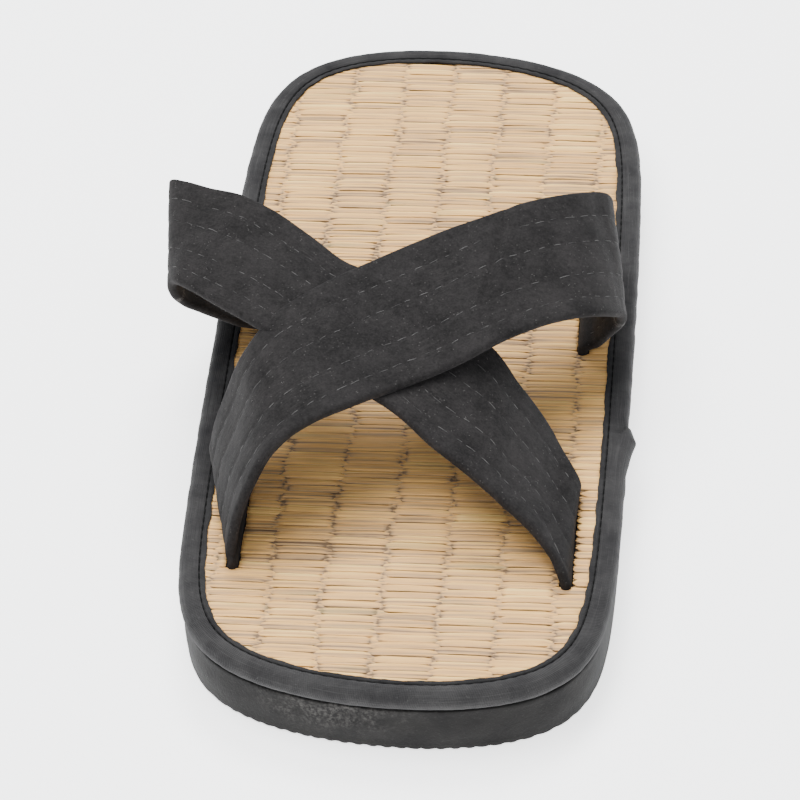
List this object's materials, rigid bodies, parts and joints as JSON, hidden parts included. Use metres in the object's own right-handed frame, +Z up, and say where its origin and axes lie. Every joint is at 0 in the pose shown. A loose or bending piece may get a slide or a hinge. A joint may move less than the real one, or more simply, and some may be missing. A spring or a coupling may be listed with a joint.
{
  "type": "zori sandal",
  "caption": "Flat slip-on sandal with a woven rush footbed, a taped edge and wide cloth straps that cross over the instep.",
  "frame": {"origin": "on the flat underside of the sole, under the middle of the sandal's plan outline", "axes": "+Z up, +Y from the toe to the heel, +X to the medial side of this right shoe"},
  "size_m": [0.1252, 0.27, 0.059],
  "materials": {
    "foam": "matt suede-like foam",
    "rush": "dry woven rush, pale straw",
    "tape": "ribbed cotton tape, washed black",
    "strap_cloth": "napped cloth with pale running stitches, dull"
  },
  "bodies": {
    "root": {"sole": "foam", "insole_mat": "rush", "edge_binding": "tape", "upper": "strap_cloth"}
  },
  "joints": []
}
